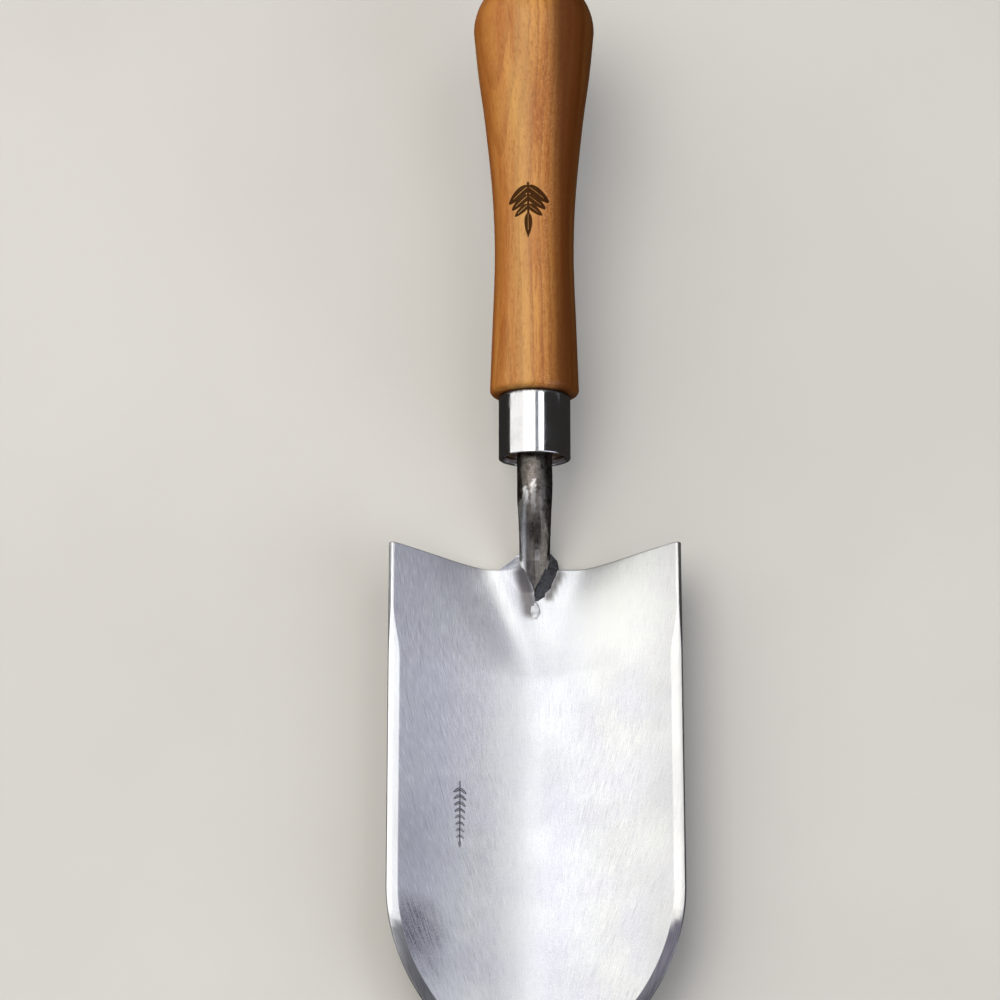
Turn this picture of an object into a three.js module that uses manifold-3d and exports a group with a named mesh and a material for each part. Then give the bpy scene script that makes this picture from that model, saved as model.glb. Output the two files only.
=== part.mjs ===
// Hand trowel: a dished steel blade, a forged and cranked stem, a steel ferrule and a turned wooden handle.
//
// Tool coordinates, in millimetres: the trowel lies on its back with the dish open upwards.
// +Z is up from the surface the blade's back rests on, +Y runs towards the end of the handle,
// and y = 0 is the shoulder line, the straight top edge of the blade. The tool is symmetric about x = 0.

import * as THREE from 'three';
import { ConvexGeometry } from 'three/addons/geometries/ConvexGeometry.js';
import { mergeVertices } from 'three/addons/utils/BufferGeometryUtils.js';
import Module from 'manifold-3d';

const wasm = await Module();
wasm.setup();

const GAP = 0.3;                       // clearance kept between touching pieces

// Blade: outline in plan
const SHOULDER_HALF = 44.3;            // half width at the shoulder line
const WIDEST_HALF = 44.3;              // half width where the sides start to turn in
const WIDEST_AT = 105.5;               // distance of that place from the shoulder line
const TURN_RADIUS = 57;                // arc that brings the sides in towards the tip
const TIP_RADIUS = 13;                 // rounding of the tip itself

// Blade: formed sheet
const SHEET = 1.8;                     // sheet thickness
const WALL_SLOPE = 0.6;                // rise of the side walls per millimetre across
const TROUGH_SOFTNESS = 5;             // larger values round the bottom of the trough more
const HEEL_HALF = 13;                  // half width of the flat heel at the shoulder line
const HEEL_LENGTH = 35;                // the flat heel narrows to nothing at this distance
const SHOULDER_SWEEP = 1.5;            // how far the shoulder corners stand towards the handle
const TOE_RISE = 2;                    // how far the spine curls up at the tip
const TOE_START = 95;                  // where that curl starts
const TOE_END = 160;                   // where it is complete

// Blade: ground edge
const BEVEL = 2.7;                     // width of the ground bevel
const BEVEL_EDGE = 0.7;                // sheet thickness left at the cutting edge
const SQUARE_EDGE = 0.6;               // width of the broken corner where there is no bevel
const BEVEL_START = [19, 35];          // the bevel grows to its full width between these distances

const BLADE_ROWS = 40;
const BLADE_COLUMNS = 10;              // on each side of the spine

// Handle axis and ferrule
const HANDLE_RISE = THREE.MathUtils.degToRad(8);
const FERRULE_MOUTH = new THREE.Vector3(0, 29, 21);      // centre of the ferrule's open lower rim
const FERRULE_OUTER = 11;
const FERRULE_WALL = 1.2;
const FERRULE_LENGTH = 20;
const FERRULE_BREAK = 0.2;             // broken corners of the ferrule

// Handle: GRIP is its outside as [distance from the wood's shoulder, radius];
// other distances along its axis are measured from the ferrule's mouth
const SPIGOT_RECESS = 2;               // the spigot's end stands this far inside the ferrule
const SHOULDER_RADIUS = 13.7;          // the wood's shoulder, which sits on the ferrule
const SHOULDER_ROUND = 1.8;            // its rounded corner
const GRIP = [[4, 13.6], [22, 12.95], [44, 12.25], [64, 12.95], [86.5, 15.2], [103, 17.4]];
const HANDLE_LENGTH = 136;             // from the wood's shoulder to the end of the bulb
const BULB_AT = 117;                   // widest place, from the wood's shoulder
const BULB_RADIUS = 18.87;
const HANDLE_SIDES = 32;
const PROFILE_STEPS = 4;               // points on each stretch of the turned outline

// Stem
const NECK_RADIUS = 5.5;
const TANG_DEPTH = 67;                 // how far the tang reaches above the ferrule's mouth
const TANG_END_RADIUS = 3.2;
const BORE_SPARE = 2;                  // the bore runs this far past the tang
const NECK_STRAIGHT = 7;               // the neck leaves the handle's axis this far below the mouth
const CRANK_PULL = 16;                 // how far along the axis the crank's curve reaches for
const LAP = 8;                         // length of the spear that lies on the blade
const POINT_HIGH = 0.6;                // half height of the spear's point
const LAP_START = 1.5;                 // the spear begins this far above the shoulder line
const LAP_HALF = 5;                    // half width of the stem there
const LAP_HIGH = 4.5;                  // half height of the stem there
const SPEAR_TAPER = 1.35;              // 1 for straight sides; larger values make the spear fuller
const FORGED_LENGTH = 20;              // above the shoulder line, the stem is round again from here
const STEM_SIDES = 20;
const STEM_STEPS = 44;

const smooth = THREE.MathUtils.smoothstep;
const lerp = THREE.MathUtils.lerp;

// ---- helpers ----

// Leaves only position, welds equal vertices and drops triangles that have collapsed.
function weld(geometry) {
  const bare = geometry.clone();
  bare.deleteAttribute('normal');
  bare.deleteAttribute('uv');
  const welded = mergeVertices(bare, 1e-5);
  const index = [];
  const corners = welded.index.array;
  for (let i = 0; i < corners.length; i += 3) {
    const [a, b, c] = corners.slice(i, i + 3);
    if (a !== b && b !== c && c !== a) index.push(a, b, c);
  }
  welded.setIndex(index);
  return welded;
}

function signedVolume(geometry) {
  const at = geometry.attributes.position;
  const index = geometry.index.array;
  const p = [new THREE.Vector3(), new THREE.Vector3(), new THREE.Vector3()];
  let sum = 0;
  for (let i = 0; i < index.length; i += 3) {
    p.forEach((v, k) => v.fromBufferAttribute(at, index[i + k]));
    sum += p[0].dot(p[1].cross(p[2])) / 6;
  }
  return sum;
}

// A welded closed body with its faces pointing out.
function closedBody(geometry) {
  const body = weld(geometry);
  if (signedVolume(body) < 0) {
    const index = Array.from(body.index.array);
    for (let i = 0; i < index.length; i += 3) {
      [index[i + 1], index[i + 2]] = [index[i + 2], index[i + 1]];
    }
    body.setIndex(index);
  }
  body.computeVertexNormals();
  return body;
}

function toSolid(geometry) {
  const body = closedBody(geometry);
  return new wasm.Manifold(new wasm.Mesh({
    numProp: 3,
    vertProperties: new Float32Array(body.attributes.position.array),
    triVerts: new Uint32Array(body.index.array),
  }));
}

function fromSolid(solid) {
  const mesh = solid.getMesh();
  const geometry = new THREE.BufferGeometry();
  geometry.setAttribute('position', new THREE.BufferAttribute(mesh.vertProperties, 3));
  geometry.setIndex(Array.from(mesh.triVerts));
  geometry.computeVertexNormals();
  return geometry;
}

function named(name, geometry, color, roughness, metalness) {
  const mesh = new THREE.Mesh(geometry, new THREE.MeshStandardMaterial({ color, roughness, metalness }));
  mesh.name = name;
  return mesh;
}

// Distance along the handle's axis, from the ferrule's mouth, to a point in tool coordinates.
function onHandleAxis(distance) {
  const axis = new THREE.Vector3(0, Math.cos(HANDLE_RISE), Math.sin(HANDLE_RISE));
  return FERRULE_MOUTH.clone().addScaledVector(axis, distance);
}

// ---- blade ----

// Right half of the blade's outline, from the shoulder corner to the tip.
function bladeOutline() {
  const turnCentreX = WIDEST_HALF - TURN_RADIUS;
  const tipCentreDrop = Math.sqrt((TURN_RADIUS - TIP_RADIUS) ** 2 - turnCentreX ** 2);
  const handOver = Math.atan2(-tipCentreDrop, -turnCentreX);
  const outline = new THREE.Path();
  outline.moveTo(SHOULDER_HALF, 0);
  outline.quadraticCurveTo(WIDEST_HALF, -WIDEST_AT / 2, WIDEST_HALF, -WIDEST_AT);
  outline.absarc(turnCentreX, -WIDEST_AT, TURN_RADIUS, 0, handOver, true);
  outline.absarc(0, -WIDEST_AT - tipCentreDrop, TIP_RADIUS, handOver, -Math.PI / 2, true);
  return outline;
}

// Height of the blade's back above the surface it rests on. The trough is a hyperbola across the blade;
// near the shoulder its walls stand apart and leave a flat triangular heel that carries the stem.
function backHeight(x, y) {
  const heelHalf = HEEL_HALF * Math.max(1 + y / HEEL_LENGTH, 0);
  const across = Math.max(Math.abs(x) - heelHalf, 0) * WIDEST_HALF / (WIDEST_HALF - heelHalf);
  const trough = Math.hypot(WALL_SLOPE * across, TROUGH_SOFTNESS) - TROUGH_SOFTNESS;
  return trough + TOE_RISE * smooth(-y, TOE_START, TOE_END);
}

// The shoulder line bows a little towards the handle at its corners.
function sweptForward(x, y) {
  const fade = 1 - smooth(-y, 0, HEEL_LENGTH);
  return SHOULDER_SWEEP * smooth(Math.abs(x), HEEL_HALF, SHOULDER_HALF) * fade;
}

// A point of the sheet: the back surface, raised by a thickness along its normal.
function sheetPoint(x, y, thickness) {
  const step = 0.01;
  const slopeX = (backHeight(x + step, y) - backHeight(x - step, y)) / (2 * step);
  const slopeY = (backHeight(x, y + step) - backHeight(x, y - step)) / (2 * step);
  const normal = new THREE.Vector3(-slopeX, -slopeY, 1).normalize();
  const point = new THREE.Vector3(x, y + sweptForward(x, y), backHeight(x, y));
  return point.addScaledVector(new THREE.Vector3(normal.x, y === 0 ? 0 : normal.y, normal.z), thickness);
}

// Stations of one row of the right half, from the spine out to the edge: { x, y, thickness }.
function bladeRow(outline, share) {
  const tipY = outline.getPointAt(1).y;
  const edge = outline.getPointAt(share);
  const tangent = outline.getTangentAt(share);
  const ground = smooth(share * outline.getLength(), ...BEVEL_START);
  const bevel = lerp(SQUARE_EDGE, BEVEL, ground);
  const inner = new THREE.Vector2(edge.x + bevel * tangent.y, edge.y - bevel * tangent.x);
  if (share === 0) inner.y = 0;
  if (share === 1) edge.x = inner.x = 0;
  const spine = new THREE.Vector2(0, (tipY + TIP_RADIUS) * share);
  const stations = [];
  for (let column = 0; column <= BLADE_COLUMNS; column += 1) {
    const spot = spine.clone().lerp(inner, (column / BLADE_COLUMNS) ** 1.2);
    stations.push({ x: spot.x, y: spot.y, thickness: SHEET });
  }
  stations.push({ x: edge.x, y: edge.y, thickness: lerp(SHEET - SQUARE_EDGE / 2, BEVEL_EDGE, ground) });
  return stations;
}

// The sheet as two skins of the same grid, closed along the shoulder line and round the edge.
// In the last row the left and right halves meet on the spine, so the skins close there by themselves.
function bladeGeometry() {
  const outline = bladeOutline();
  const points = [];
  const span = 2 * (BLADE_COLUMNS + 1) + 1;
  for (let row = 0; row <= BLADE_ROWS; row += 1) {
    const right = bladeRow(outline, row / BLADE_ROWS);
    const left = right.slice(1).reverse().map((s) => ({ ...s, x: -s.x }));
    for (const { x, y, thickness } of [...left, ...right]) {
      points.push(sheetPoint(x, y, 0), sheetPoint(x, y, thickness));
    }
  }
  const back = (row, column) => 2 * (row * span + column);
  const front = (row, column) => back(row, column) + 1;
  const index = [];
  const quad = (a, b, c, d) => index.push(a, b, c, a, c, d);
  for (let row = 0; row < BLADE_ROWS; row += 1) {
    for (let column = 0; column < span - 1; column += 1) {
      quad(back(row, column), back(row, column + 1), back(row + 1, column + 1), back(row + 1, column));
      quad(front(row, column), front(row + 1, column), front(row + 1, column + 1), front(row, column + 1));
    }
    const last = span - 1;
    quad(back(row, 0), back(row + 1, 0), front(row + 1, 0), front(row, 0));
    quad(back(row, last), front(row, last), front(row + 1, last), back(row + 1, last));
  }
  for (let column = 0; column < span - 1; column += 1) {
    quad(back(0, column), front(0, column), front(0, column + 1), back(0, column + 1));
  }
  const geometry = new THREE.BufferGeometry().setFromPoints(points);
  geometry.setIndex(index);
  return closedBody(geometry);
}

// ---- handle and ferrule: turned pieces, revolved about local +Y from the ferrule's mouth ----

const v2 = (x, y) => new THREE.Vector2(x, y);

function tangRadius(distance) {
  return lerp(NECK_RADIUS, TANG_END_RADIUS, THREE.MathUtils.clamp(distance / TANG_DEPTH, 0, 1));
}

function handleGeometry() {
  const spigotRadius = FERRULE_OUTER - FERRULE_WALL - GAP;
  const boreEnd = TANG_DEPTH + BORE_SPARE;
  const profile = new THREE.Path();
  profile.moveTo(0, boreEnd);
  profile.lineTo(tangRadius(boreEnd) + GAP, boreEnd);
  profile.lineTo(tangRadius(SPIGOT_RECESS) + GAP, SPIGOT_RECESS);
  profile.lineTo(spigotRadius, SPIGOT_RECESS);
  profile.lineTo(spigotRadius, FERRULE_LENGTH);
  const wood = (distance) => FERRULE_LENGTH + distance;
  profile.lineTo(SHOULDER_RADIUS - SHOULDER_ROUND, FERRULE_LENGTH);
  profile.quadraticCurveTo(SHOULDER_RADIUS, FERRULE_LENGTH, SHOULDER_RADIUS, wood(SHOULDER_ROUND));
  const grip = [...GRIP, [BULB_AT, BULB_RADIUS]];
  profile.splineThru(grip.map(([distance, radius]) => v2(radius, wood(distance))));
  profile.absellipse(0, wood(BULB_AT), BULB_RADIUS, HANDLE_LENGTH - BULB_AT, 0, Math.PI / 2, false, 0);
  const points = profile.getPoints(PROFILE_STEPS);
  points[points.length - 1].x = 0;
  return closedBody(new THREE.LatheGeometry(points, HANDLE_SIDES));
}

function ferruleGeometry() {
  const inner = FERRULE_OUTER - FERRULE_WALL;
  const top = FERRULE_LENGTH - GAP;
  const b = FERRULE_BREAK;
  const ring = [
    v2(inner + b, 0), v2(FERRULE_OUTER - b, 0), v2(FERRULE_OUTER, b), v2(FERRULE_OUTER, top - b),
    v2(FERRULE_OUTER - b, top), v2(inner, top), v2(inner, b), v2(inner + b, 0),
  ];
  return closedBody(new THREE.LatheGeometry(ring, HANDLE_SIDES));
}

// ---- stem ----

// Centreline from the spear's point on the blade, up the crank, to the end of the tang.
function stemPath() {
  const floor = SHEET + GAP;
  const point = new THREE.Vector3(0, -LAP, floor + POINT_HIGH);
  const lap = new THREE.Vector3(0, LAP_START, floor + LAP_HIGH);
  const onward = lap.clone().sub(point).setLength(CRANK_PULL / 2).add(lap);
  const bend = onHandleAxis(-NECK_STRAIGHT);
  const path = new THREE.CurvePath();
  path.add(new THREE.LineCurve3(point, lap));
  path.add(new THREE.CubicBezierCurve3(lap, onward, onHandleAxis(-CRANK_PULL), bend));
  path.add(new THREE.LineCurve3(bend, onHandleAxis(TANG_DEPTH)));
  return path;
}

// Half width and half height of the stem's section at a point of its centreline.
function stemSection(at) {
  const above = at.clone().sub(FERRULE_MOUTH).dot(onHandleAxis(1).sub(FERRULE_MOUTH));
  if (at.y > LAP_START) {
    const round = tangRadius(above);
    const forged = smooth(at.y, LAP_START, FORGED_LENGTH);
    return { half: lerp(LAP_HALF, round, forged), high: lerp(LAP_HIGH, round, forged) };
  }
  const down = THREE.MathUtils.clamp((LAP_START - at.y) / (LAP_START + LAP), 0, 1);
  const spear = 1 - down ** SPEAR_TAPER;
  return { half: Math.max(LAP_HALF * spear, POINT_HIGH), high: at.z - SHEET - GAP };
}

// A round bar bent along the centreline and forged to its sections; extra grows it on all sides.
function stemGeometry(extra = 0) {
  const path = stemPath();
  const bar = new THREE.CylinderGeometry(1, 1, 1, STEM_SIDES, STEM_STEPS);
  const at = bar.attributes.position;
  const side = new THREE.Vector3(1, 0, 0);
  for (let i = 0; i < at.count; i += 1) {
    const share = THREE.MathUtils.clamp(at.getY(i) + 0.5, 0, 1);
    const centre = path.getPointAt(share);
    const along = path.getTangentAt(share);
    const up = side.clone().cross(along).normalize();
    const { half, high } = stemSection(centre);
    centre.addScaledVector(side, at.getX(i) * (half + extra));
    centre.addScaledVector(up, -at.getZ(i) * (high + extra));
    if (share === 0) centre.y -= extra;
    at.setXYZ(i, centre.x, centre.y, centre.z);
  }
  return closedBody(bar);
}

// ---- welds ----

function hull(points) {
  return new ConvexGeometry(points.map(([x, y, z]) => new THREE.Vector3(x, y, z)));
}

function bead(halfX, halfY, halfZ, x, y, z) {
  const ball = new THREE.SphereGeometry(1, 20, 12);
  ball.scale(halfX, halfY, halfZ);
  ball.translate(x, y, z);
  return ball;
}

// Everything below the upper face of the flat heel, with the gap added.
function underHeel() {
  const depth = 20;
  const box = new THREE.BoxGeometry(60, 60, depth);
  box.translate(0, -30 + GAP, SHEET + GAP - depth / 2);
  return box;
}

function weldGeometry(raw) {
  const clear = toSolid(stemGeometry(GAP)).add(toSolid(underHeel()));
  return fromSolid(toSolid(raw).subtract(clear));
}

// Fillet along one side of the spear: side is -1 for the left and 1 for the right. The left one is broader.
function filletGeometry(side) {
  const floor = SHEET + GAP - 0.5;
  const top = [[5.2, 3.6, 5.2], [4, 3.6, 7.2], [3, 3.4, 5], [4, 0, 6.6], [1.5, 0, floor], [3.2, -4, 5.3]];
  const foot = side < 0
    ? [[6.6, 2.2, 3.4], [10.4, 0.3, floor], [8.8, -3, floor], [6.2, -7, floor], [3.5, -10.8, floor],
      [2, -8, 3.4], [2.2, -12.2, floor], [0.9, -12.2, floor]]
    : [[7.2, 1.9, 3.4], [7.5, 0.4, floor], [6.3, -3.3, floor], [5, -6.5, floor], [3.4, -8.9, floor],
      [1.8, -8, 3.4], [1.3, -10.2, floor], [0.6, -10.2, floor]];
  return weldGeometry(hull([...top, ...foot].map(([x, y, z]) => [side * x, y, z])));
}

function toeWeldGeometry() {
  return weldGeometry(bead(1.3, 2.4, 1.1, 0.5, -LAP - 5.9, SHEET + GAP));
}

function backSeamGeometry() {
  return weldGeometry(bead(3.9, 1.4, 1.2, 0, GAP + 1.6, 1.75));
}

// ---- assembly ----

function turned(mesh) {
  mesh.position.copy(FERRULE_MOUTH);
  mesh.rotation.x = HANDLE_RISE;
  return mesh;
}

const tool = new THREE.Group();
tool.add(named('blade', bladeGeometry(), 0xb9bcc0, 0.35, 1));
tool.add(named('stem', stemGeometry(), 0x4a4541, 0.5, 1));
tool.add(named('weld_fillet_left', filletGeometry(-1), 0x8d8c8c, 0.45, 1));
tool.add(named('weld_fillet_right', filletGeometry(1), 0x4d4f55, 0.45, 1));
tool.add(named('weld_toe', toeWeldGeometry(), 0xb0b0b0, 0.35, 1));
tool.add(named('weld_seam_back', backSeamGeometry(), 0x6c6b6b, 0.45, 1));
tool.add(turned(named('ferrule', ferruleGeometry(), 0xc6c6c6, 0.18, 1)));
tool.add(turned(named('handle', handleGeometry(), 0xa85a24, 0.4, 0)));

// The part's origin is under the middle of its box, on the surface it rests on.
const box = new THREE.Box3().setFromObject(tool, true);
const middle = box.getCenter(new THREE.Vector3());
tool.position.set(-middle.x, -middle.y, -box.min.z);

const group = new THREE.Group();
group.add(tool);

export default group;
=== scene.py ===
"""Hand trowel: detailed pieces, materials, floor, light and camera around its CAD model.

Shapes are worked out in tool coordinates, in millimetres: x across the blade, y from the shoulder line
towards the handle, z up from the surface that the blade's back rests on. tool_object() moves them into
the frame and turns them into metres.
"""

import math

import bpy
import numpy as np
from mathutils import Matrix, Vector, noise


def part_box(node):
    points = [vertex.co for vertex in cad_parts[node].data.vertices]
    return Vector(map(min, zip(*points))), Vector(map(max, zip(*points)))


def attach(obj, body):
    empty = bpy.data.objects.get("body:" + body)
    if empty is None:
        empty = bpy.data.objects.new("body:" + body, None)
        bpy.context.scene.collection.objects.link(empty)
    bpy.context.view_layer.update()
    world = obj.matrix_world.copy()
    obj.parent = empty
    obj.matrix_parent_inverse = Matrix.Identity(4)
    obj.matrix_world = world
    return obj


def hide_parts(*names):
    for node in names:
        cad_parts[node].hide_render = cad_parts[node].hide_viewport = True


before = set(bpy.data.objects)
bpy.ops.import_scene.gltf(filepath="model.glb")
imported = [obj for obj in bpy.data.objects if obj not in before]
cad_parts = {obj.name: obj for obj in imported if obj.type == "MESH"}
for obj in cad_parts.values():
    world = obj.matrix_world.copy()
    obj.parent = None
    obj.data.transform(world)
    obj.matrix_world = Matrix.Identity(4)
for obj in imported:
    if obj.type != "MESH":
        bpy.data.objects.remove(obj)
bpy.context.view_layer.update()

MM = 0.001

# Blade outline in plan
BLADE_HALF = 44.29
STRAIGHT_LENGTH = 105.5      # shoulder corner to the start of the lower turn
TURN_RADIUS = 57.0
TIP_RADIUS = 13.0
TURN_X = BLADE_HALF - TURN_RADIUS
TIP_DROP = math.sqrt((TURN_RADIUS - TIP_RADIUS) ** 2 - TURN_X**2)
HAND_OVER = math.atan2(TIP_DROP, -TURN_X)          # angle where the turn's arc meets the tip's arc
TIP_START = STRAIGHT_LENGTH + TURN_RADIUS * HAND_OVER
OUTLINE_LENGTH = TIP_START + TIP_RADIUS * (math.pi / 2 - HAND_OVER)

# Blade sheet
SHEET = 1.8
WALL_SLOPE = 0.6
TROUGH_SOFTNESS = 5.0
HEEL_HALF = 13.0
HEEL_LENGTH = 35.0
SHOULDER_SWEEP = 1.5
TOE_RISE = 2.0
TOE_START = 95.0
TOE_END = 160.0
BEVEL = 2.7
BEVEL_EDGE = 0.7             # thickness left at the bevelled edge
SQUARE_EDGE = 0.6            # width of the eased edge above the bevel
BEVEL_START = (19.0, 35.0)   # the bevel widens between these distances from the shoulder corner
HEEL_EASE = 0.05
RIM_HIGH = 0.35
RIPPLE = 0.12

# Handle axis, ferrule and handle; distances run along the axis from the ferrule's mouth
HANDLE_RISE = math.radians(8)
FERRULE_OUTER = 11.0
FERRULE_WALL = 1.2
FERRULE_LENGTH = 20.0
SPIGOT_RECESS = 2.0
SHOULDER_RADIUS = 13.7
SHOULDER_ROUND = 1.8
GRIP = [(4, 13.6), (22, 12.95), (44, 12.25), (64, 12.95), (86.5, 15.2), (103, 17.4)]
BULB_AT = 117.0
BULB_RADIUS = 18.8
HANDLE_LENGTH = 135.9

# Stem
NECK_RADIUS = 5.5
TANG_DEPTH = 67.0
TANG_END_RADIUS = 3.2
NECK_STRAIGHT = 7.0
CRANK_PULL = 16.0
LAP = 8.0
POINT_HIGH = 0.6
LAP_START = 1.5
LAP_HALF = 5.0
LAP_HIGH = 4.5
SPEAR_TAPER = 1.35
FORGED_LENGTH = 20.0
GAP = 0.3


# ---- places taken from the frame ----

RIGHT = np.array([1.0, 0, 0])
AXIS = np.array([0, math.cos(HANDLE_RISE), math.sin(HANDLE_RISE)])         # along the handle
LIFT = np.array([0, -math.sin(HANDLE_RISE), math.cos(HANDLE_RISE)])        # up from it, square to it
SHOULDER_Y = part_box("blade")[1].y / MM - SHOULDER_SWEEP                    # shoulder line in the frame


def ferrule_mouth():
    """Centre of the ferrule's lower rim, in tool coordinates."""
    low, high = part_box("ferrule")
    centre = np.array((low + high) / 2 / MM)
    return centre - AXIS * (FERRULE_LENGTH - GAP) / 2 - [0, SHOULDER_Y, 0]


def to_frame(points):
    """Tool coordinates in millimetres to places in the frame in metres."""
    return (np.asarray(points) + [0, SHOULDER_Y, 0]) * MM


MOUTH = ferrule_mouth()


# ---- helpers ----

def smooth(value, low, high):
    """Smoothstep from 0 at low to 1 at high, for numbers and arrays."""
    t = np.clip((np.asarray(value, float) - low) / (high - low), 0, 1)
    return t * t * (3 - 2 * t)


def mix(a, b, share):
    return a + (b - a) * share


def wobble(points, size, seed):
    """Smooth noise of about -1 to 1 at each point; size is its feature size in millimetres."""
    return np.array([noise.noise(Vector(p) / size + Vector((seed, 0, 0))) for p in points])


def tool_object(name, points, faces, stands_for):
    """A smooth-shaded piece from tool coordinates, riding on the tool and standing for CAD nodes."""
    mesh = bpy.data.meshes.new(name)
    mesh.from_pydata(to_frame(points).tolist(), [], faces)
    mesh.polygons.foreach_set("use_smooth", [True] * len(mesh.polygons))
    mesh.update()
    piece = bpy.data.objects.new(name, mesh)
    bpy.context.scene.collection.objects.link(piece)
    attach(piece, "root")
    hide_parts(*stands_for)
    return piece


def dress(piece, material):
    piece.data.materials.append(material)


def mark(piece, name, values):
    """Stores one number per vertex for the material to read."""
    attribute = piece.data.attributes.new(name, "FLOAT", "POINT")
    attribute.data.foreach_set("value", np.asarray(values, np.float32))


def ring_faces(rings, sides, joined=False):
    """Quads between consecutive rings of points; joined also closes the last ring on the first."""
    faces = []
    for r in range(rings if joined else rings - 1):
        here, there = r * sides, ((r + 1) % rings) * sides
        for s in range(sides):
            t = (s + 1) % sides
            faces.append((here + s, here + t, there + t, there + s))
    return faces


def cap_faces(first, sides, pole, outward):
    """A fan from one ring to its pole."""
    fan = [(first + s, first + (s + 1) % sides, pole) for s in range(sides)]
    return fan if outward else [f[::-1] for f in fan]


def closed_faces(rings, sides):
    """Quads between rings, and a fan at each end to the two poles that follow the rings' points."""
    start, end = rings * sides, rings * sides + 1
    faces = ring_faces(rings, sides) + cap_faces(0, sides, start, False)
    return faces + cap_faces((rings - 1) * sides, sides, end, True)


def spread(*stretches):
    """Stations from (start, end, step) stretches that follow each other, without repeats."""
    stations = [stretches[0][0]]
    for start, end, step in stretches:
        count = max(1, round(abs(end - start) / step))
        stations += list(np.linspace(start, end, count + 1)[1:])
    return np.array(stations)


# ---- marks: a generic sprig, burnt into the wood and stamped into the blade ----

def leaf(u, v, base, angle, length, width, blur):
    """Coverage of one leaf that grows from base in the direction angle, with a bare midrib."""
    along = (u - base[0]) * math.sin(angle) + (v - base[1]) * math.cos(angle)
    across = (u - base[0]) * math.cos(angle) - (v - base[1]) * math.sin(angle)
    t = along / length
    half = width / 2 * np.sqrt(np.clip(4 * t * (1 - t), 0, None)) * (1.15 - 0.5 * t)
    inside = smooth(half - np.abs(across), -blur / 2, blur / 2) * ((t > 0) & (t < 1))
    midrib = smooth(np.abs(across), blur * 0.1, blur * 0.6) + smooth(t, 0.72, 0.8)
    return inside * np.clip(midrib, 0, 1)


def sprig(u, v, length, pairs, leaf_length, leaf_width, stalk, blur):
    """Coverage of a sprig along +v: a stalk, pairs of leaves and one leaf at the end."""
    cover = smooth(stalk / 2 - np.abs(u), -blur / 2, blur / 2) * (v > 0) * (v < length)
    for k in range(pairs):
        base = (0.0, length * (0.12 + 0.88 * k / pairs))
        grown = 1 - 0.16 * k * 3 / pairs
        for side in (-1, 1):
            angle = side * math.radians(52)
            one = leaf(u, v, base, angle, leaf_length * grown, leaf_width * grown, blur)
            cover = np.maximum(cover, one)
    top = leaf(u, v, (0.0, length * 0.98), 0.0, leaf_length * 0.85, leaf_width * 0.8, blur)
    return np.maximum(cover, top)


# ---- blade ----

def blade_outline(run):
    """Points and outward normals of the right half's outline at distances run from the shoulder corner."""
    bend = (run - STRAIGHT_LENGTH) / TURN_RADIUS
    tip_bend = HAND_OVER + (run - TIP_START) / TIP_RADIUS
    angle = np.where(run < STRAIGHT_LENGTH, 0, np.where(run < TIP_START, bend, tip_bend))
    outward = np.stack([np.cos(angle), -np.sin(angle)], -1)
    straight = np.stack([np.full_like(run, BLADE_HALF), -run], -1)
    turning = np.array([TURN_X, -STRAIGHT_LENGTH]) + TURN_RADIUS * outward
    rounding = np.array([0, -STRAIGHT_LENGTH - TIP_DROP]) + TIP_RADIUS * outward
    curved = np.where((run < TIP_START)[:, None], turning, rounding)
    return np.where((run < STRAIGHT_LENGTH)[:, None], straight, curved), outward


def back_height(x, y):
    """Height of the blade's back: a hyperbolic trough with a flat heel and a slightly raised toe."""
    heel_half = HEEL_HALF * np.maximum(1 + y / HEEL_LENGTH, 0)
    across = np.maximum(np.abs(x) - heel_half, 0) * BLADE_HALF / (BLADE_HALF - heel_half)
    trough = np.hypot(WALL_SLOPE * across, TROUGH_SOFTNESS) - TROUGH_SOFTNESS
    return trough + TOE_RISE * smooth(-y, TOE_START, TOE_END)


def sheet_points(x, y, thickness):
    """Points of the sheet: its back, raised by a thickness along the normal."""
    step = 0.01
    slope_x = (back_height(x + step, y) - back_height(x - step, y)) / (2 * step)
    slope_y = (back_height(x, y + step) - back_height(x, y - step)) / (2 * step)
    normal = np.stack([-slope_x, -slope_y, np.ones_like(x)], -1)
    normal /= np.linalg.norm(normal, axis=-1, keepdims=True)
    normal[..., 1] *= smooth(-y, 0, 2)
    sweep = SHOULDER_SWEEP * smooth(np.abs(x), HEEL_HALF, BLADE_HALF) * (1 - smooth(-y, 0, HEEL_LENGTH))
    back = np.stack([x, y + sweep, back_height(x, y)], -1)
    return back + normal * np.asarray(thickness)[..., None]


STAMP_AT = (-23.4, -70.6)        # upper end of the stamped sprig, on the left wall
STAMP_LENGTH = 21.5
STAMP_DEPTH = 0.16


def stamp_cover(x, y):
    u, v = x - STAMP_AT[0], STAMP_AT[1] - y
    return sprig(u, v, STAMP_LENGTH * 0.88, 8, 2.5, 1.0, 0.4, 0.2)


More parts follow.
